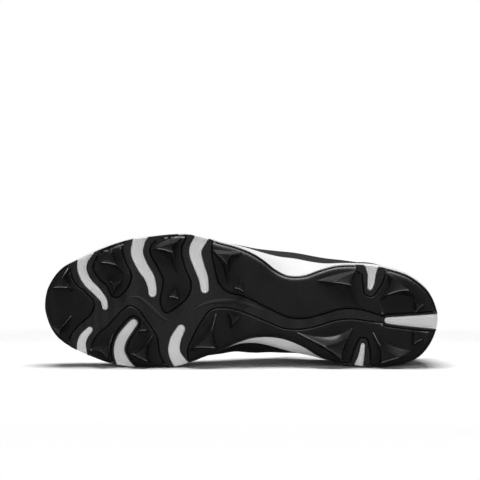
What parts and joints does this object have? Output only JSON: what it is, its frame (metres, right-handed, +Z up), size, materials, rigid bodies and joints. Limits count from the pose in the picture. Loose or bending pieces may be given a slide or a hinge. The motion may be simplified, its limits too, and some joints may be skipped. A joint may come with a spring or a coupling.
{
  "type": "baseball cleat",
  "caption": "Low left baseball cleat lying on its medial side, with a studded moulded outsole, foam midsole, mesh upper, tongue and lace.",
  "frame": {"origin": "bottom centre of the box of the shoe as it lies on its medial side", "axes": "+X from toe to heel, +Y the shoe's own up, from sole to collar, +Z up from the floor, which is the shoe's lateral side"},
  "size_m": [0.3002, 0.1342, 0.1014],
  "materials": {
    "outsole_plastic": "glossy moulded pads and studs, finely grained web",
    "foam": "matte moulded foam",
    "lining": "brushed lining",
    "mesh": "fine mesh with smooth overlays",
    "lace": "woven lace"
  },
  "bodies": {
    "root": {"outsole": "outsole_plastic", "midsole": "foam", "insole": "lining", "upper": "mesh", "tongue": "lining", "laces": "lace"}
  },
  "joints": []
}
